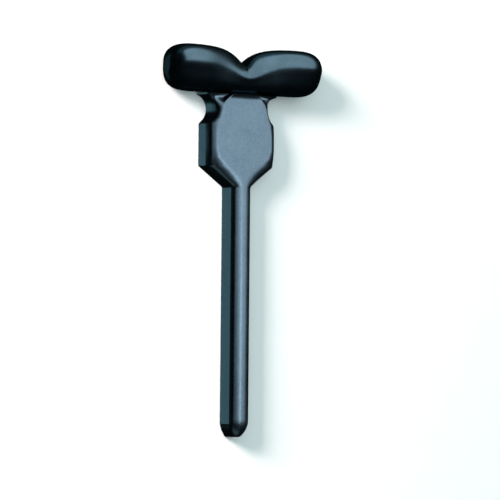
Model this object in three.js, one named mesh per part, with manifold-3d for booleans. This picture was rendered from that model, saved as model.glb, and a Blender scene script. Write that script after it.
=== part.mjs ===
// One-hand tap wrench: a flat steel blade with a blunt rectangular shank, and a two-lobed T grip
// formed around the blade's hidden tang. Millimetres. The wrench lies on its back: +X runs along
// the grip, +Y from the tip to the grip and +Z out of the front face. The origin is under the
// middle of the wrench, on the plane it lies on.
import * as THREE from 'three';
import { mergeVertices } from 'three/addons/utils/BufferGeometryUtils.js';
import Module from 'manifold-3d';

// Whole wrench
const overallLength = 165;
const fitGap = 0.3; // clearance between the grip and the tang inside it

// Grip
const gripSpan = 79.6;
const gripEnd = 2.4; // how square the lobes' ends are: 2 is round
const gripHeight = 20; // across one lobe, along Y
const gripDepth = 16.4;
const gripWall = 8.6; // height of the lobes' widest outline above the back
const lobeLift = 3.2; // how far above their middle the lobes stand furthest forward
const cleftDepth = 9; // how far the top dips between the lobes, at the back
const cleftSpread = 6.4; // how fast that dip dies away from the middle
const saddleDip = 6.5; // the softer dip in the front
const saddleSpread = 10;
const saddleDepth = 12.2; // front to back, in the middle between the lobes
const saddleReach = 8; // from the middle to where the grip starts to deepen towards the lobes
const undersideTrim = 0.15; // taken off the lobes' undersides to give the shoulder a flat seat

// Blade
const bladeThickness = 9.8;
const frontEdgeWidth = 2.4; // rounding along the front's edges; the back's edges are square
const frontEdgeDepth = 2.8;
const bodyWidth = 34.6;
const bodyFlat = 17.9; // length of the straight flats beside the pad
const bodyTop = 49.8; // where the flats end below the neck
const neckRadius = 6.2;
const neckWidth = 27.2;
const neckRise = 6; // from the top of the flats to the narrowest part of the neck
const bladeOverrun = 6; // plate left above the shoulder before it is cut square
const shankWidth = 9.4;
const slopeDrop = 8.6; // from the flats down to the shank
const slopeFillet = 2; // where the slopes run into the shank
const tipTaperLength = 5.2;
const tipTaperDepth = 2.2; // taken off each side
const tipRoundDepth = 3; // taken off the front and the back

// Tang, hidden inside the grip
const tangThickness = 5;
const tangWidth = 48;
const tangStemWidth = 24;
const tangStemHeight = 3;
const tangHeight = 9.6; // from the shoulder to the top of the tang
const tangHoleRadius = 2.3;
const tangHoleSpacing = 16;

// Worked out from the sizes above
const tipY = -overallLength / 2;
const gripTop = overallLength / 2;
const gripBottom = gripTop - gripHeight;
const shoulderY = gripBottom - fitGap;
const lobeRadius = gripHeight / 2;
const lobeCentre = gripSpan / 2 - lobeRadius; // centre of a lobe's round end, from the middle
const slopeTop = bodyTop - bodyFlat;
const slopeFoot = slopeTop - slopeDrop;

const wasm = await Module();
wasm.setup();

function toSolid(geometry) {
  const bare = geometry.index ? geometry.clone() : geometry;
  bare.deleteAttribute('normal');
  bare.deleteAttribute('uv');
  const merged = mergeVertices(bare, 1e-4);
  const mesh = new wasm.Mesh({
    numProp: 3,
    vertProperties: new Float32Array(merged.attributes.position.array),
    triVerts: new Uint32Array(merged.index.array),
  });
  return new wasm.Manifold(mesh);
}

function toGeometry(solid) {
  const mesh = solid.getMesh();
  const geometry = new THREE.BufferGeometry();
  geometry.setAttribute('position', new THREE.BufferAttribute(new Float32Array(mesh.vertProperties), 3));
  geometry.setIndex(new THREE.BufferAttribute(new Uint32Array(mesh.triVerts), 1));
  geometry.computeVertexNormals();
  return geometry;
}

// The blade seen from the front. It runs on past the shoulder, where bladeSide cuts it square.
function bladeOutline() {
  const halfBody = bodyWidth / 2;
  const halfShank = shankWidth / 2;
  const neckX = neckWidth / 2 + neckRadius;
  const neckY = bodyTop + neckRise;
  const neckStart = -0.8; // where the line from the flats runs into the neck's arc
  const neckEnd = 1.35;
  const shoulderX = neckX - neckRadius * Math.cos(neckEnd);
  const slopeTurn = Math.atan2(halfBody - halfShank, slopeDrop); // the fillet's share of a turn
  const footY = slopeFoot - slopeFillet * Math.tan(slopeTurn / 2);
  const shape = new THREE.Shape();
  shape.moveTo(-halfShank + tipTaperDepth, tipY);
  shape.lineTo(halfShank - tipTaperDepth, tipY);
  shape.lineTo(halfShank, tipY + tipTaperLength);
  shape.absarc(halfShank + slopeFillet, footY, slopeFillet, Math.PI, Math.PI - slopeTurn, true);
  shape.lineTo(halfBody, slopeTop);
  shape.lineTo(halfBody, bodyTop);
  shape.absarc(neckX, neckY, neckRadius, Math.PI - neckStart, Math.PI - neckEnd, true);
  shape.lineTo(shoulderX, shoulderY + bladeOverrun);
  shape.lineTo(-shoulderX, shoulderY + bladeOverrun);
  shape.absarc(-neckX, neckY, neckRadius, neckEnd, neckStart, true);
  shape.lineTo(-halfBody, bodyTop);
  shape.lineTo(-halfBody, slopeTop);
  shape.absarc(-halfShank - slopeFillet, footY, slopeFillet, slopeTurn, 0, true);
  shape.lineTo(-halfShank, tipY + tipTaperLength);
  shape.closePath();
  return shape;
}

// The blade seen from the side: a straight bar whose tip is rounded to the front and the back.
function bladeSide() {
  const taperY = tipY + tipTaperLength;
  const frontZ = bladeThickness - tipRoundDepth;
  const quarter = Math.PI / 2;
  const shape = new THREE.Shape();
  shape.moveTo(shoulderY, 0);
  shape.lineTo(shoulderY, bladeThickness);
  shape.absellipse(taperY, frontZ, tipTaperLength, tipRoundDepth, quarter, 2 * quarter, false, 0);
  shape.absellipse(taperY, tipRoundDepth, tipTaperLength, tipRoundDepth, 2 * quarter, 3 * quarter, false, 0);
  return shape;
}

// The tang seen from the front: a short stem and a cross bar with three locking holes. A positive
// growth gives the pocket that the tang leaves in the grip, so the holes shrink as the rest grows.
function tangOutline(growth) {
  const halfStem = tangStemWidth / 2 + growth;
  const halfBar = tangWidth / 2 + growth;
  const root = shoulderY - 1;
  const barBottom = shoulderY + tangStemHeight - growth;
  const barTop = shoulderY + tangHeight + growth;
  const shape = new THREE.Shape([
    new THREE.Vector2(-halfStem, root),
    new THREE.Vector2(halfStem, root),
    new THREE.Vector2(halfStem, barBottom),
    new THREE.Vector2(halfBar, barBottom),
    new THREE.Vector2(halfBar, barTop),
    new THREE.Vector2(-halfBar, barTop),
    new THREE.Vector2(-halfBar, barBottom),
    new THREE.Vector2(-halfStem, barBottom),
  ]);
  const holeY = (shoulderY + tangStemHeight + shoulderY + tangHeight) / 2;
  for (const side of [-1, 0, 1]) {
    const hole = new THREE.Path();
    hole.absarc(side * tangHoleSpacing, holeY, tangHoleRadius - growth, 0, Math.PI * 2, true);
    shape.holes.push(hole);
  }
  return shape;
}

function tangSolid(growth) {
  const depth = tangThickness + 2 * growth;
  const geometry = new THREE.ExtrudeGeometry(tangOutline(growth), { depth, bevelEnabled: false, curveSegments: 8 });
  geometry.translate(0, 0, (bladeThickness - depth) / 2);
  return toSolid(geometry);
}

// The plate is rounded front and back, and bladeSide cuts off the part behind the back.
function bladeGeometry() {
  const plate = new THREE.ExtrudeGeometry(bladeOutline(), {
    depth: bladeThickness - frontEdgeDepth,
    bevelThickness: frontEdgeDepth,
    bevelSize: frontEdgeWidth,
    bevelOffset: -frontEdgeWidth,
    bevelSegments: 5,
    curveSegments: 10,
  });
  const side = new THREE.ExtrudeGeometry(bladeSide(), {
    depth: bodyWidth + 2,
    bevelEnabled: false,
    curveSegments: 6,
  });
  side.translate(0, 0, -bodyWidth / 2 - 1);
  side.rotateZ(Math.PI / 2);
  side.rotateY(Math.PI / 2);
  return toGeometry(toSolid(plate).intersect(toSolid(side)).add(tangSolid(0)));
}

// How far the grip's top lies below the lobes' tops at a distance x from the middle. The dip is a
// sharp cleft at the back and softens to a round saddle towards the front. It fades out where the
// lobes' round ends start.
function dip(x, forward) {
  const fade = Math.exp(-lobeCentre / cleftSpread);
  const sharp = Math.max(0, Math.exp(-Math.abs(x) / cleftSpread) - fade) / (1 - fade);
  const soft = Math.exp(-((x / saddleSpread) ** 2));
  const blend = THREE.MathUtils.smoothstep(forward, 0.5, 1);
  return THREE.MathUtils.lerp(cleftDepth * sharp, saddleDip * soft, blend);
}

// A capsule along X, drawn into the grip's form: half round in front, boxier behind, with the
// cleft pressed into its top and the saddle into its front.
function gripForm() {
  const geometry = new THREE.CapsuleGeometry(lobeRadius, 2 * lobeCentre, 6, 28, 24);
  geometry.rotateZ(-Math.PI / 2);
  const point = new THREE.Vector3();
  const positions = geometry.attributes.position;
  for (let i = 0; i < positions.count; i += 1) {
    point.fromBufferAttribute(positions, i);
    const axial = THREE.MathUtils.clamp(point.x, -lobeCentre, lobeCentre);
    const reach = (point.x - axial) / lobeRadius;
    const height = point.y / lobeRadius;
    const forward = point.z / lobeRadius;
    const inPlane = Math.hypot(reach, height);
    const corner = (Math.abs(reach) ** gripEnd + Math.abs(height) ** gripEnd) ** (1 / gripEnd);
    const behind = forward < 0 ? (inPlane ** 4 + forward ** 4) ** -0.25 : 1;
    const boxy = inPlane > 0 ? behind * inPlane / corner : behind;
    const x = axial + reach * boxy * lobeRadius;
    const top = gripTop - dip(x, forward);
    const bottom = gripBottom - undersideTrim;
    const scale = (top - bottom) / gripHeight;
    const lift = forward > 0 ? lobeLift * forward ** 2 : 0;
    const y = (top + bottom) / 2 + (height * boxy * lobeRadius + lift) * scale;
    const deepening = THREE.MathUtils.smoothstep(Math.abs(axial), saddleReach, lobeCentre);
    const depth = THREE.MathUtils.lerp(saddleDepth, gripDepth, deepening);
    const z = gripWall + forward * behind * (forward < 0 ? gripWall : depth - gripWall);
    positions.setXYZ(i, x, y, z);
  }
  return geometry;
}

function gripGeometry() {
  const belowSeat = new THREE.BoxGeometry(gripSpan, gripHeight, 3 * gripDepth);
  belowSeat.translate(0, gripBottom - gripHeight / 2, 0);
  const seated = toSolid(gripForm()).subtract(toSolid(belowSeat));
  return toGeometry(seated.subtract(tangSolid(fitGap)));
}

const blackenedSteel = new THREE.MeshStandardMaterial({ color: 0x3b4a57, roughness: 0.42, metalness: 0.85 });
const blackEnamel = new THREE.MeshStandardMaterial({ color: 0x1d252c, roughness: 0.35, metalness: 0.6 });

const blade = new THREE.Mesh(bladeGeometry(), blackenedSteel);
blade.name = 'blade';
const grip = new THREE.Mesh(gripGeometry(), blackEnamel);
grip.name = 't_grip';

const tapWrench = new THREE.Group();
tapWrench.add(blade, grip);

export default tapWrench;
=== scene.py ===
# A one-hand tap wrench, lying on its back: +X along the grip, +Y from the tip to the grip, +Z up.
import math

import bmesh
import bpy
from mathutils import Matrix, Vector


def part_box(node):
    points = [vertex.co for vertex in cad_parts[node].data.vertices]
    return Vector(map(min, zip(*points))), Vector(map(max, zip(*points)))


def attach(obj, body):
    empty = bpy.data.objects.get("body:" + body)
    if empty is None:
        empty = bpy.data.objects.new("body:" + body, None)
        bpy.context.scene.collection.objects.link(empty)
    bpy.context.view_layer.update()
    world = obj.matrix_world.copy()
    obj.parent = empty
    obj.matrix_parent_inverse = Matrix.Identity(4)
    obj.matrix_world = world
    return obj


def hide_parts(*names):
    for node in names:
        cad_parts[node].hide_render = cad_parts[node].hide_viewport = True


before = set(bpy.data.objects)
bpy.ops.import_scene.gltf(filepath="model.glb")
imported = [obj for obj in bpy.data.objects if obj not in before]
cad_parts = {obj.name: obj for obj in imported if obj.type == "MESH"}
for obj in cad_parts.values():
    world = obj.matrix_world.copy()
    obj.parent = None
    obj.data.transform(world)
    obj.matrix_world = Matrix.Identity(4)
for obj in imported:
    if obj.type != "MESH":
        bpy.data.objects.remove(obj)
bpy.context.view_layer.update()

mm = 0.001
bladeLow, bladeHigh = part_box("blade")
gripLow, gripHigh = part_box("t_grip")
print("stage: frame loaded")


# Modelling helpers

def nothingSelected():
    if bpy.context.object and bpy.context.object.mode != "OBJECT":
        bpy.ops.object.mode_set(mode="OBJECT")
    bpy.ops.object.select_all(action="DESELECT")


def onlySelected(piece):
    nothingSelected()
    piece.select_set(True)
    bpy.context.view_layer.objects.active = piece


def pick(kind, wanted):
    # selects, in edit mode, the vertices, edges or faces that pass the test
    bpy.ops.mesh.select_mode(type=kind)
    bpy.ops.mesh.select_all(action="DESELECT")
    editMesh = bmesh.from_edit_mesh(bpy.context.object.data)
    elements = {"VERT": editMesh.verts, "EDGE": editMesh.edges, "FACE": editMesh.faces}[kind]
    for element in elements:
        if wanted(element):
            element.select_set(True)
    editMesh.select_flush_mode()
    bmesh.update_edit_mesh(bpy.context.object.data)


def near(a, b, within=0.02 * mm):
    return abs(a - b) < within


def extrudeBy(x=0.0, y=0.0, z=0.0):
    bpy.ops.mesh.extrude_region_move(TRANSFORM_OT_translate={"value": (x, y, z)})


def resizeAbout(centre, x=1.0, y=1.0, z=1.0):
    bpy.ops.transform.resize(value=(x, y, z), center_override=centre)


def moveBy(x=0.0, y=0.0, z=0.0):
    bpy.ops.transform.translate(value=(x, y, z))


def closeUp():
    # merges doubles and turns every face outwards
    bpy.ops.mesh.select_all(action="SELECT")
    bpy.ops.mesh.remove_doubles(threshold=0.001 * mm)
    bpy.ops.mesh.normals_make_consistent(inside=False)


def applyModifier(piece, kind, **settings):
    onlySelected(piece)
    modifier = piece.modifiers.new(kind.title(), kind)
    for name, value in settings.items():
        setattr(modifier, name, value)
    bpy.ops.object.modifier_apply(modifier=modifier.name)


def cutWith(piece, tool, operation):
    applyModifier(piece, "BOOLEAN", object=tool, operation=operation, solver="EXACT")
    bpy.data.objects.remove(tool)


def finishPiece(piece, name, node, smoothAngle):
    onlySelected(piece)
    bpy.ops.object.transform_apply(location=True, rotation=True, scale=True)
    bpy.ops.object.mode_set(mode="EDIT")
    closeUp()
    bpy.ops.object.mode_set(mode="OBJECT")
    bpy.ops.object.shade_smooth_by_angle(angle=math.radians(smoothAngle))
    piece.name = name
    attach(piece, "root")
    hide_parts(node)


# The tang: a short stem and a cross bar, pierced by three holes that the grip locks into

tang = dict(
    thickness=5 * mm,
    width=48 * mm,
    stemWidth=24 * mm,
    stemHeight=3 * mm,
    height=9.6 * mm,  # from the shoulder to the top of the cross bar
    holeRadius=2.3 * mm,
    holeSpacing=16 * mm,
    edge=0.5 * mm,
    overlap=1 * mm,  # how far the stem runs down into the blade
    holeSides=48,
)


def makeTang(growth):
    # growth 0 is the tang itself; a positive growth is the pocket it leaves in the grip
    shoulderY = bladeHigh[1] - tang["height"]
    midZ = (bladeLow[2] + bladeHigh[2]) / 2
    barBottom = shoulderY + tang["stemHeight"] - growth
    barTop = shoulderY + tang["height"] + growth
    halfWidth = tang["width"] / 2 + growth
    nothingSelected()
    bpy.ops.mesh.primitive_cube_add(size=1, location=(0, (barBottom + barTop) / 2, midZ))
    piece = bpy.context.object
    bpy.ops.object.mode_set(mode="EDIT")
    centre = (0, (barBottom + barTop) / 2, midZ)
    resizeAbout(centre, 2 * halfWidth, barTop - barBottom, tang["thickness"] + 2 * growth)
    pick("FACE", lambda face: face.normal.y < -0.9)
    bpy.ops.mesh.inset(thickness=0.2 * mm)
    bpy.ops.transform.resize(
        value=((tang["stemWidth"] / 2 + growth) / (halfWidth - 0.2 * mm), 1, 1), center_override=centre)
    thickness = tang["thickness"] + 2 * growth
    resizeAbout(centre, z=(thickness - 0.02 * mm) / (thickness - 0.4 * mm))
    extrudeBy(y=-(tang["stemHeight"] - growth + tang["overlap"]))
    bpy.ops.object.mode_set(mode="OBJECT")
    bpy.ops.object.transform_apply(location=True, rotation=True, scale=True)
    applyModifier(piece, "BEVEL", width=tang["edge"], segments=3, limit_method="ANGLE",
                  angle_limit=math.radians(40))
    for side in (-1, 0, 1):
        nothingSelected()
        bpy.ops.mesh.primitive_cylinder_add(
            vertices=tang["holeSides"], radius=tang["holeRadius"] - growth, depth=4 * tang["thickness"],
            location=(side * tang["holeSpacing"],
                      (shoulderY + tang["stemHeight"] + barTop - growth) / 2, midZ))
        cutWith(piece, bpy.context.object, "DIFFERENCE")
    return piece


# The blade: blunt tip, shank, slopes, pad, neck and shoulder, and the tang

blade = dict(
    bodyWidth=34.6 * mm,
    bodyFlat=17.9 * mm,
    bodyTop=49.8 * mm,
    neckRadius=6.2 * mm,
    neckWidth=27.2 * mm,
    neckRise=6 * mm,  # from the top of the flats to the narrowest part of the neck
    neckSteps=15,
    flatSteps=5,
    shankWidth=9.4 * mm,
    slopeDrop=8.6 * mm,
    slopeSteps=5,
    slopeFillet=2 * mm,
    filletSteps=7,
    tipLength=5.6 * mm,
    tipShoulder=(2.6 * mm, 0.75 * mm),  # the tip's first facet: its length and how far it leans in
    tipDepth=2.6 * mm,  # taken off each side by both facets
    tipRoundDepth=4 * mm,  # taken off the front
    tipRoundLength=7.6 * mm,
    tipRoundSteps=4,
    tipSteps=9,
    columns=8,  # faces across the blade
    cornerEdge=0.25 * mm,
    seam=0.04 * mm,  # between the shoulder and the grip
)
bladeTop = gripLow[1] - blade["seam"]

# The front face is a smooth barrel, rounded off to the side walls
pad = dict(
    shankHalf=0.25 * mm,
    bodyHalf=13.8 * mm,
    foot=25 * mm,  # where it starts to widen
    full=38.3 * mm,
    waist=44 * mm,  # where it starts to narrow towards the neck
    neckHalf=10.4 * mm,
    corner=58.5 * mm,  # where its top corners start
    cornerInset=2.8 * mm,
    shankDepth=3.1 * mm,  # how deep the rounding reaches
    bodyDepth=4.4 * mm,
    neckDepth=5.2 * mm,
    shoulderDepth=2.6 * mm,  # the slope beside the front climbs to the grip
    flareStart=56.8 * mm,  # above this the rounding turns into a bank with a ledge below it
    bankWidth=1.2 * mm,
    # the rounding's parts, from the wall inwards: rings, first and last tilt in degrees, share of its length
    rim=((3, 79, 73, 0.25), (6, 65, 33, 0.22), (7, 27, 2, 0.53)),
    lipStart=59.9 * mm,
    lipRise=0.95 * mm,  # the front curves up this much where it meets the grip
)


def smoothStep(value, low, high):
    t = min(1, max(0, (value - low) / (high - low)))
    return t * t * (3 - 2 * t)


def bladeStations():
    # (y, half width) from the tip to the shoulder
    halfBody = blade["bodyWidth"] / 2
    halfShank = blade["shankWidth"] / 2
    tipY = bladeLow[1]
    slopeTop = blade["bodyTop"] - blade["bodyFlat"]
    slopeFoot = slopeTop - blade["slopeDrop"]
    facetLength, facetLean = blade["tipShoulder"]
    stations = []
    for step in range(blade["tipSteps"] + 1):
        fromEnd = blade["tipLength"] * (1 - math.cos(math.pi / 2 * step / blade["tipSteps"]))
        left = blade["tipLength"] - fromEnd
        if left <= facetLength:
            lean = facetLean * left / facetLength
        else:
            lean = facetLean + (blade["tipDepth"] - facetLean) * (left - facetLength) / (
                blade["tipLength"] - facetLength)
        stations.append((tipY + fromEnd, halfShank - lean))
    for step in range(1, blade["tipRoundSteps"] + 1):
        share = step / blade["tipRoundSteps"]
        stations.append((tipY + blade["tipLength"] + (blade["tipRoundLength"] - blade["tipLength"]) * share,
                         halfShank))
    slopeTurn = math.atan2(halfBody - halfShank, blade["slopeDrop"])
    footY = slopeFoot - blade["slopeFillet"] * math.tan(slopeTurn / 2)
    for step in range(blade["filletSteps"] + 1):
        turn = slopeTurn * step / blade["filletSteps"]
        stations.append((footY + blade["slopeFillet"] * math.sin(turn),
                         halfShank + blade["slopeFillet"] * (1 - math.cos(turn))))
    lastY, lastHalf = stations[-1]
    for step in range(1, blade["slopeSteps"] + 1):
        share = step / blade["slopeSteps"]
        stations.append((lastY + (slopeTop - lastY) * share, lastHalf + (halfBody - lastHalf) * share))
    for step in range(1, blade["flatSteps"] + 1):
        stations.append((slopeTop + blade["bodyFlat"] * step / blade["flatSteps"], halfBody))
    neckX = blade["neckWidth"] / 2 + blade["neckRadius"]
    neckY = blade["bodyTop"] + blade["neckRise"]
    firstTurn, lastTurn = -0.8, 1.35
    for step in range(blade["neckSteps"] + 1):
        turn = firstTurn + (lastTurn - firstTurn) * step / blade["neckSteps"]
        stations.append((neckY + blade["neckRadius"] * math.sin(turn),
                         neckX - blade["neckRadius"] * math.cos(turn)))
    stations.append((bladeTop, stations[-1][1]))
    return stations


def frontHalf(y):
    half = pad["shankHalf"] + (pad["bodyHalf"] - pad["shankHalf"]) * smoothStep(y, pad["foot"], pad["full"])
    if y > pad["waist"]:
        share = (y - pad["waist"]) / (pad["corner"] - pad["waist"])
        half -= (pad["bodyHalf"] - pad["neckHalf"]) * share ** 1.4
    if y > pad["corner"]:
        share = (y - pad["corner"]) / (bladeTop - pad["corner"])
        half -= pad["cornerInset"] * share ** 1.4
    return half


def rimDepth(y):
    slopeTop = blade["bodyTop"] - blade["bodyFlat"]
    depth = pad["shankDepth"] + (pad["bodyDepth"] - pad["shankDepth"]) * smoothStep(
        y, slopeTop - blade["slopeDrop"] - 2 * mm, slopeTop)
    depth += (pad["neckDepth"] - pad["bodyDepth"]) * smoothStep(
        y, blade["bodyTop"] - 2 * mm, blade["bodyTop"] + 3 * mm)
    return depth + (pad["shoulderDepth"] - pad["neckDepth"]) * flareAt(y)


def flareAt(y):
    return max(0, (y - pad["flareStart"]) / (bladeTop - pad["flareStart"])) ** 1.6


def rimRings():
    # how far out and how far down each ring lies, from the wall (1, 1) to the flat of the front (0, 0)
    across, up = [0.0], [0.0]
    for rings, first, last, share in pad["rim"]:
        for ring in range(rings):
            tilt = math.radians(first + (last - first) * ring / (rings - 1))
            across.append(across[-1] + share / rings * math.cos(tilt))
            up.append(up[-1] + share / rings * math.sin(tilt))
    return [(1 - a / across[-1], 1 - u / up[-1]) for a, u in zip(across, up)]


def frontHeight(y):
    fromEnd = (y - bladeLow[1]) / blade["tipRoundLength"]
    height = bladeHigh[2]
    if fromEnd < 1:
        height -= blade["tipRoundDepth"] * (1 - math.sqrt(1 - (1 - fromEnd) ** 2))
    lip = max(0, (y - pad["lipStart"]) / (bladeTop - pad["lipStart"]))
    return height + pad["lipRise"] * lip ** 2


def makeBlade():
    stations = bladeStations()
    nothingSelected()
    bpy.ops.mesh.primitive_grid_add(x_subdivisions=blade["columns"], y_subdivisions=1, size=1,
                                    location=(0, 0, 0))
    piece = bpy.context.object
    bpy.ops.object.mode_set(mode="EDIT")
    firstY, firstHalf = stations[0]
    nextY, nextHalf = stations[1]
    resizeAbout((0, 0, 0), 2 * firstHalf, nextY - firstY)
    moveBy(y=(firstY + nextY) / 2)
    pick("EDGE", lambda edge: all(near(v.co.y, nextY, 0.001 * mm) for v in edge.verts))
    resizeAbout((0, nextY, 0), nextHalf / firstHalf)
    for (lastY, lastHalf), (y, half) in zip(stations[1:], stations[2:]):
        extrudeBy(y=y - lastY)
        resizeAbout((0, y, 0), half / lastHalf)

    # the side walls, then the rounding in rings, each ring drawn in and raised station by station
    lift = 0.4 * mm
    heights = {y: 0.0 for y, half in stations}
    widths = dict(stations)
    bpy.ops.mesh.select_all(action="SELECT")
    for outward, down in rimRings():
        extrudeBy(z=lift)
        for y, half in stations:
            layer = heights[y] + lift
            width = frontHalf(y) + (half - frontHalf(y)) * outward
            bank = min(1, outward * (half - frontHalf(y)) / pad["bankWidth"])
            height = frontHeight(y) - rimDepth(y) * (down + (bank - down) * flareAt(y))
            pick("VERT", lambda v: near(v.co.y, y, 0.001 * mm) and near(v.co.z, layer, 0.001 * mm))
            resizeAbout((0, y, 0), width / widths[y])
            moveBy(z=height - layer)
            heights[y] = height
            widths[y] = width
        top = dict(heights)
        pick("FACE", lambda face: all(
            near(v.co.z, min(top.items(), key=lambda item: abs(item[0] - v.co.y))[1], 0.001 * mm)
            for v in face.verts))

    # the crease between the walls and the rounding stays crisp
    def alongWallTop(edge):
        if len(edge.link_faces) < 2:
            return False
        upright = [abs(face.normal.z) < 0.001 and face.normal.y < 0.99 for face in edge.link_faces]
        return any(upright) and not all(upright) and all(v.co.z > mm for v in edge.verts)
    pick("EDGE", alongWallTop)
    bpy.ops.mesh.mark_sharp()
    closeUp()
    pick("EDGE", lambda edge: edge.is_manifold and edge.calc_face_angle() > math.radians(33)
         and not all(near(v.co.y, bladeTop) for v in edge.verts))
    bpy.ops.mesh.bevel(offset=blade["cornerEdge"], segments=2)
    bpy.ops.object.mode_set(mode="OBJECT")
    cutWith(piece, makeTang(0), "UNION")
    finishPiece(piece, "bladeSteel", "blade", 14)
    return piece


# The grip: two round lobes with a cleft between them, drawn from sections along X

grip = dict(
    wall=8.6 * mm,  # height of the widest outline above the back
    underside=20 * mm,  # from the lobes' tops down to the underside
    cleftDepth=9 * mm,
    cleftSpread=5.4 * mm,
    saddleDip=9.4 * mm,  # the softer dip in the front
    saddleSpread=9.8 * mm,
    saddleDepth=12.8 * mm,  # front to back in the middle
    saddleReach=2 * mm,  # from the middle to where the lobes start to deepen
    stations=(2.2, 4.6, 8, 12.5, 18, 23.5),  # mm from the middle
    endSquareness=2.4,
    endReaches=(0.45, 0.75, 0.93),
    endFill=(0.985, 0.3),
    sides=16,
    backCorner=1.19,  # pushes the back's corners out to a boxier section
    backShoulder=1.075,
    frontLift=2.6 * mm,  # the lobes' front-most line lies above their middle
    lowerSlope=0.84,  # below that line the front slopes back
    baseHollow=0.6,  # the saddle's foot sinks towards the blade's front
    baseReach=14 * mm,
    cleftCrease=0.8,
    clearance=0.3 * mm,
)


def cleftAt(x):
    fade = math.exp(-(gripHigh[0] - grip["underside"] / 2) / grip["cleftSpread"])
    return grip["cleftDepth"] * max(0, math.exp(-abs(x) / grip["cleftSpread"]) - fade) / (1 - fade)


def saddleAt(x):
    return grip["saddleDip"] * math.exp(-(x / grip["saddleSpread"]) ** 2)


def makeGrip():
    bottom = gripHigh[1] - grip["underside"]
    radius = grip["underside"] / 2
    wall = grip["wall"]
    middleY = bottom + radius
    middle = (0, middleY, wall)
    nothingSelected()
    bpy.ops.mesh.primitive_circle_add(vertices=grip["sides"], radius=1, fill_type="NOTHING",
                                      location=middle, rotation=(0, math.pi / 2, 0))
    piece = bpy.context.object
    bpy.ops.object.transform_apply(location=True, rotation=True, scale=True)
    bpy.ops.object.mode_set(mode="EDIT")
    bpy.ops.mesh.select_all(action="SELECT")
    resizeAbout(middle, 1, radius, wall)

    def turnOf(v):  # 0 at the widest outline, 90 at the back or the front
        return math.degrees(math.atan2(abs(v.co.z - wall) / wall, abs(v.co.y - middleY) / radius))

    pick("VERT", lambda v: v.co.z < wall and near(turnOf(v), 45, 1))
    resizeAbout(middle, 1, grip["backCorner"], grip["backCorner"])
    pick("VERT", lambda v: v.co.z < wall and (near(turnOf(v), 22.5, 1) or near(turnOf(v), 67.5, 1)))
    resizeAbout(middle, 1, grip["backShoulder"], grip["backShoulder"])
    frontDepth = gripHigh[2] - wall
    pick("VERT", lambda v: v.co.z > wall + 0.01 * mm)
    resizeAbout(middle, 1, 1, frontDepth / wall)
    for low, high, share in ((0.3, 0.5, 0.15), (0.5, 0.85, 0.5), (0.85, 0.95, 0.85), (0.95, 1.1, 1)):
        pick("VERT", lambda v: low < (v.co.z - wall) / frontDepth < high)
        moveBy(y=grip["frontLift"] * share)
    pick("VERT", lambda v: v.co.z > wall + 0.01 * mm and v.co.y < middleY)
    resizeAbout(middle, 1, 1, grip["lowerSlope"])

    # the same section all the way out to the round end, then the end
    endStart = gripHigh[0] - radius
    sections = [0, *(station * mm for station in grip["stations"]), endStart]
    bpy.ops.mesh.select_all(action="SELECT")
    for lastX, x in zip(sections, sections[1:]):
        extrudeBy(x=x - lastX)
    power = grip["endSquareness"]
    lastX, lastScale = endStart, 1
    for reach in grip["endReaches"]:
        x = endStart + reach * radius
        scale = (1 - reach ** power) ** (1 / power)
        extrudeBy(x=x - lastX)
        resizeAbout((x, middleY, wall), 1, scale / lastScale, scale / lastScale)
        lastX, lastScale = x, scale
    reach, scale = grip["endFill"]
    extrudeBy(x=endStart + reach * radius - lastX)
    resizeAbout((0, middleY, wall), 1, scale / lastScale, scale / lastScale)
    bpy.ops.mesh.fill_grid(span=grip["sides"] // 4)

    # the cleft in the top, the saddle in the front and the hollow at the saddle's foot
    for x in sections:
        depthShare = smoothStep(x, grip["saddleReach"], endStart)
        depth = grip["saddleDepth"] + (gripHigh[2] - grip["saddleDepth"]) * depthShare
        for low, high, soft in ((-2, 0.1, 0), (0.1, 0.45, 0.3), (0.45, 0.71, 0.7), (0.71, 1.1, 1)):
            dip = cleftAt(x) * (1 - soft) + saddleAt(x) * soft
            pick("VERT", lambda v: near(v.co.x, x) and low < (v.co.z - wall) / frontDepth < high)
            resizeAbout((x, bottom, 0), y=1 - dip / grip["underside"])
        hollow = 1 - (1 - grip["baseHollow"]) * (1 - smoothStep(x, 0, grip["baseReach"]))
        pick("VERT", lambda v: near(v.co.x, x) and v.co.z > wall + 0.01 * mm)
        resizeAbout((x, 0, wall), z=(depth - wall) / frontDepth)
        pick("VERT", lambda v: (near(v.co.x, x) and v.co.z > wall + 0.01 * mm
                                and v.co.y < bottom + 0.2 * radius))
        resizeAbout((x, 0, wall), z=hollow)

    # the cleft stays sharp at the top and the back
    pick("EDGE", lambda edge: all(near(v.co.x, 0) and v.co.y > bottom + 0.6 * radius and v.co.z < wall * 1.04
                                  for v in edge.verts))
    bpy.ops.transform.edge_crease(value=grip["cleftCrease"])
    bpy.ops.object.mode_set(mode="OBJECT")
    applyModifier(piece, "MIRROR", use_axis=(True, False, False), use_clip=True)
    applyModifier(piece, "SUBSURF", levels=3, render_levels=3)

    # brought back to its full size
    corners = [Vector(corner) for corner in piece.bound_box]
    low = Vector(min(c[i] for c in corners) for i in range(3))
    high = Vector(max(c[i] for c in corners) for i in range(3))
    bpy.ops.object.mode_set(mode="EDIT")
    bpy.ops.mesh.select_all(action="SELECT")
    moveBy(*(g - l for g, l in zip(gripLow, low)))
    bpy.ops.transform.resize(
        value=tuple((gh - gl) / (h - l) for gh, gl, h, l in zip(gripHigh, gripLow, high, low)),
        center_override=tuple(gripLow))
    bpy.ops.object.mode_set(mode="OBJECT")
    cutWith(piece, makeTang(grip["clearance"]), "DIFFERENCE")
    finishPiece(piece, "gripBody", "t_grip", 40)
    return piece


# Finishes

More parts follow.
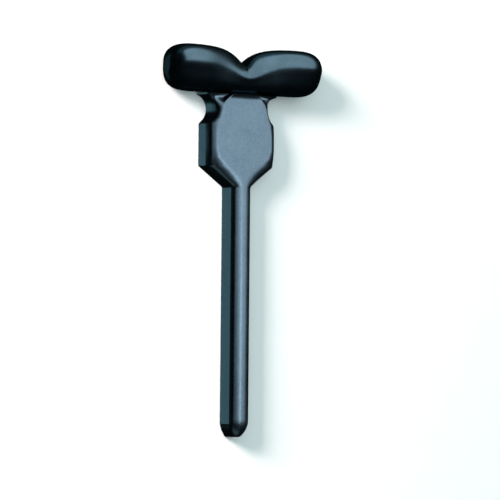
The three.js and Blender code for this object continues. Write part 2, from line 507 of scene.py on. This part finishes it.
class Signal:
    # a socket's value; arithmetic on it adds Math nodes
    def __init__(self, finish, socket):
        self.finish = finish
        self.socket = socket

    def worked(self, operation, first, second=None):
        inputs = {0: first}
        if second is not None:
            inputs[1] = second
        return self.finish.node("ShaderNodeMath", {"operation": operation}, inputs)

    def __add__(self, other):
        return self.worked("ADD", self, other)

    def __radd__(self, other):
        return self.worked("ADD", other, self)

    def __mul__(self, other):
        return self.worked("MULTIPLY", self, other)

    def __rmul__(self, other):
        return self.worked("MULTIPLY", other, self)


class Finish:
    def __init__(self, name):
        self.material = bpy.data.materials.new(name)
        self.material.use_nodes = True
        self.tree = self.material.node_tree
        self.shader = self.tree.nodes["Principled BSDF"]

    def feed(self, socket, value):
        if isinstance(value, Signal):
            self.tree.links.new(value.socket, socket)
        else:
            socket.default_value = value

    def node(self, kind, settings=None, inputs=None, output=0):
        made = self.tree.nodes.new(kind)
        for name, value in (settings or {}).items():
            setattr(made, name, value)
        for name, value in (inputs or {}).items():
            self.feed(made.inputs[name], value)
        return Signal(self, made.outputs[output])

    def noise(self, place, scale, detail=3.0, roughness=0.5):
        return self.node("ShaderNodeTexNoise", {}, {
            "Vector": place, "Scale": scale, "Detail": detail, "Roughness": roughness})

    def between(self, value, low, high):
        # 0 below low, 1 above high
        return self.node("ShaderNodeMapRange", {"clamp": True}, {
            "Value": value, "From Min": low, "From Max": high, "To Min": 0.0, "To Max": 1.0})

    def blend(self, share, first, second):
        return self.node("ShaderNodeMix", {"data_type": "RGBA"}, {0: share, 6: first, 7: second}, 2)

    def finish(self, **sockets):
        for name, value in sockets.items():
            self.feed(self.shader.inputs[name.replace("_", " ")], value)
        return self.material


steelLook = dict(
    base=(0.066, 0.10, 0.126, 1),
    pale=(0.096, 0.138, 0.168, 1),
    # the edge colour: partly rubbed bare steel, partly a painted edge highlight
    worn=(0.24, 0.28, 0.31, 1),
    roughness=0.23,
    roughnessSpread=0.1,
    cloudScale=90.0,
    grainScale=1100.0,
    grainHeight=0.012 * mm,
)


def blackenedSteel():
    look = steelLook
    finish = Finish("blackenedSteel")
    place = finish.node("ShaderNodeTexCoord", output=3)
    clouds = finish.noise(place, look["cloudScale"], 4.0, 0.6)
    grain = finish.noise(place, look["grainScale"], 2.0, 0.6)
    pointiness = finish.node("ShaderNodeNewGeometry", output=7)
    # brightens sharp edges in patches, partly as rubbed bare steel and partly as a painted edge highlight
    edgeWearAndHighlight = finish.between(pointiness, 0.52, 0.62) * finish.between(clouds, 0.35, 0.6)
    speckle = clouds * 0.45 + grain * 0.55
    body = finish.blend(finish.between(speckle, 0.35, 0.65), look["base"], look["pale"])
    colour = finish.blend(edgeWearAndHighlight * 0.6, body, look["worn"])
    rough = look["roughness"] + clouds * look["roughnessSpread"] + grain * 0.06
    bump = finish.node("ShaderNodeBump", {}, {
        "Strength": 0.5, "Distance": look["grainHeight"], "Height": grain})
    return finish.finish(Base_Color=colour, Metallic=1.0, Roughness=rough, Normal=bump)


gripLook = dict(
    base=(0.068, 0.113, 0.138, 1),
    pale=(0.094, 0.152, 0.186, 1),
    worn=(0.16, 0.22, 0.25, 1),
    roughness=0.2,
    roughnessSpread=0.1,
    cloudScale=110.0,
    pitScale=1500.0,
    pitHeight=0.015 * mm,
)


def smoothBlack():
    look = gripLook
    finish = Finish("smoothBlack")
    place = finish.node("ShaderNodeTexCoord", output=3)
    clouds = finish.noise(place, look["cloudScale"], 4.0, 0.55)
    pits = finish.noise(place, look["pitScale"], 2.0, 0.5)
    body = finish.blend(finish.between(clouds, 0.35, 0.7), look["base"], look["pale"])
    colour = finish.blend(finish.between(pits, 0.62, 0.75) * 0.3, body, look["worn"])
    rough = look["roughness"] + clouds * look["roughnessSpread"]
    bump = finish.node("ShaderNodeBump", {}, {"Strength": 0.4, "Distance": look["pitHeight"], "Height": pits})
    return finish.finish(Base_Color=colour, Metallic=1.0, Roughness=rough, Normal=bump)


def dress(piece, material):
    piece.data.materials.clear()
    piece.data.materials.append(material)


# Studio: a pale floor, one soft key for the shadow, soft boxes for the sheen, and the camera

studio = dict(
    target=Vector((0, 0, 5 * mm)),
    azimuth=36.71,  # how far left of the front the camera stands, in degrees
    drop=1.05,  # how far towards the tip
    roll=-0.54,
    distance=1.2562,
    lens=213.5,
    shift=(0.0258, -0.0158),
    floorSize=4.0,
)


def direction(azimuth, elevation):
    # azimuth from the front towards +X, elevation towards +Y, in degrees
    a, e = math.radians(azimuth), math.radians(elevation)
    return Vector((math.sin(a) * math.cos(e), math.sin(e), math.cos(a) * math.cos(e)))


def facing(outward, roll=0.0):
    # turns a camera or a lamp at that side to look back at the target, upright along Y
    right = Vector((0, 1, 0)).cross(outward).normalized()
    up = outward.cross(right)
    turn = math.radians(roll)
    rolledX = right * math.cos(turn) - up * math.sin(turn)
    rolledY = right * math.sin(turn) + up * math.cos(turn)
    return Matrix((rolledX, rolledY, outward)).transposed().to_4x4()


def makeCamera():
    outward = direction(-studio["azimuth"], -studio["drop"])
    lensData = bpy.data.cameras.new("camera")
    lensData.lens = studio["lens"]
    lensData.sensor_width = 36
    lensData.shift_x, lensData.shift_y = studio["shift"]
    lensData.clip_start = 0.05
    camera = bpy.data.objects.new("camera", lensData)
    place = Matrix.Translation(studio["target"] + outward * studio["distance"])
    camera.matrix_world = place @ facing(outward, studio["roll"])
    bpy.context.collection.objects.link(camera)
    bpy.context.scene.camera = camera


def makeFloor():
    nothingSelected()
    bpy.ops.mesh.primitive_plane_add(size=studio["floorSize"], location=(0, 0, 0))
    floor = bpy.context.object
    floor.name = "floor"
    finish = Finish("paleFloor")
    place = finish.node("ShaderNodeTexCoord", output=3)
    fibres = finish.noise(place, 60.0, 3.0, 0.5)
    tone = finish.blend(fibres, (0.90, 0.90, 0.895, 1), (0.93, 0.93, 0.925, 1))
    dress(floor, finish.finish(Base_Color=tone, Roughness=0.9))
    floor.visible_glossy = False  # keeps the lobes' undersides dark
    floor.visible_shadow = False  # lets the box below the table through


lamps = {
    "key": dict(azimuth=-68, elevation=26, distance=1.0, size=(0.34, 0.34), watts=23, colour=(1, 0.93, 0.91),
                glossy=False, diffuse=True),
    "fill": dict(azimuth=-12, elevation=10, distance=1.6, size=(2.6, 2.6), watts=34, colour=(0.82, 1, 1.01),
                 glossy=False, diffuse=True),
    "frontBox": dict(azimuth=25, elevation=31, distance=0.8, size=(1.0, 1.35), watts=6.6,
                     colour=(0.94, 1, 1.05), glossy=True, diffuse=False),
    "streak": dict(azimuth=22, elevation=-7, distance=0.79, size=(0.06, 0.2), watts=0.56,
                   colour=(0.94, 1, 1.03), glossy=True, diffuse=False, only="blade"),
    "wideBox": dict(azimuth=8, elevation=28, distance=0.81, size=(2.1, 1.1), watts=6.5,
                    colour=(0.94, 1, 1.05), glossy=True, diffuse=False, only="blade"),
    # past the grip and past the tip, for the far sides
    "headBox": dict(azimuth=10, elevation=84, distance=0.8, size=(1.2, 0.5), watts=0.3,
                    colour=(0.5, 1, 1), glossy=True, diffuse=False),
    "footBox": dict(azimuth=-25, elevation=-70, distance=0.8, size=(1.0, 0.5), watts=0.55,
                    colour=(0.8, 1, 1), glossy=True, diffuse=False, only="blade"),
    # below the table, for the walls and the lobe's end that face left
    "wallBox": dict(azimuth=-143, elevation=0, distance=0.6, size=(0.26, 0.4), watts=0.28,
                    colour=(0.6, 0.95, 1), glossy=True, diffuse=False, only="blade"),
    "lobeBox": dict(azimuth=-143, elevation=5, distance=0.6, size=(0.2, 0.8), watts=0.07,
                    colour=(0.6, 0.95, 1), glossy=True, diffuse=False, only="grip"),
}


def makeLamp(name, lamp):
    data = bpy.data.lights.new(name, "AREA")
    data.shape = "RECTANGLE"
    data.size, data.size_y = lamp["size"]
    data.energy = lamp["watts"]
    data.color = lamp["colour"]
    light = bpy.data.objects.new(name, data)
    outward = direction(lamp["azimuth"], lamp["elevation"])
    light.matrix_world = Matrix.Translation(studio["target"] + outward * lamp["distance"]) @ facing(outward)
    light.visible_glossy = lamp["glossy"]
    light.visible_diffuse = lamp["diffuse"]
    light.visible_camera = False
    bpy.context.collection.objects.link(light)


def keepTo(name, piece):
    # the lamp lights this piece alone
    receivers = bpy.data.collections.new(name + "Receivers")
    receivers.objects.link(piece)
    bpy.data.objects[name].light_linking.receiver_collection = receivers


def makeWorld():
    world = bpy.data.worlds.new("studioAir")
    world.use_nodes = True
    world.node_tree.nodes["Background"].inputs["Color"].default_value = (0.006, 0.009, 0.0095, 1)
    bpy.context.scene.world = world
    bpy.context.scene.view_settings.view_transform = "Standard"


makeCamera()
makeFloor()
for lampName, lampFacts in lamps.items():
    makeLamp(lampName, lampFacts)
makeWorld()
print("stage: studio ready")

bladePiece = makeBlade()
dress(bladePiece, blackenedSteel())
print("stage: blade made,", len(bladePiece.data.polygons), "faces")

gripPiece = makeGrip()
dress(gripPiece, smoothBlack())
print("stage: grip made,", len(gripPiece.data.polygons), "faces")

for lampName, lampFacts in lamps.items():
    if "only" in lampFacts:
        keepTo(lampName, {"blade": bladePiece, "grip": gripPiece}[lampFacts["only"]])
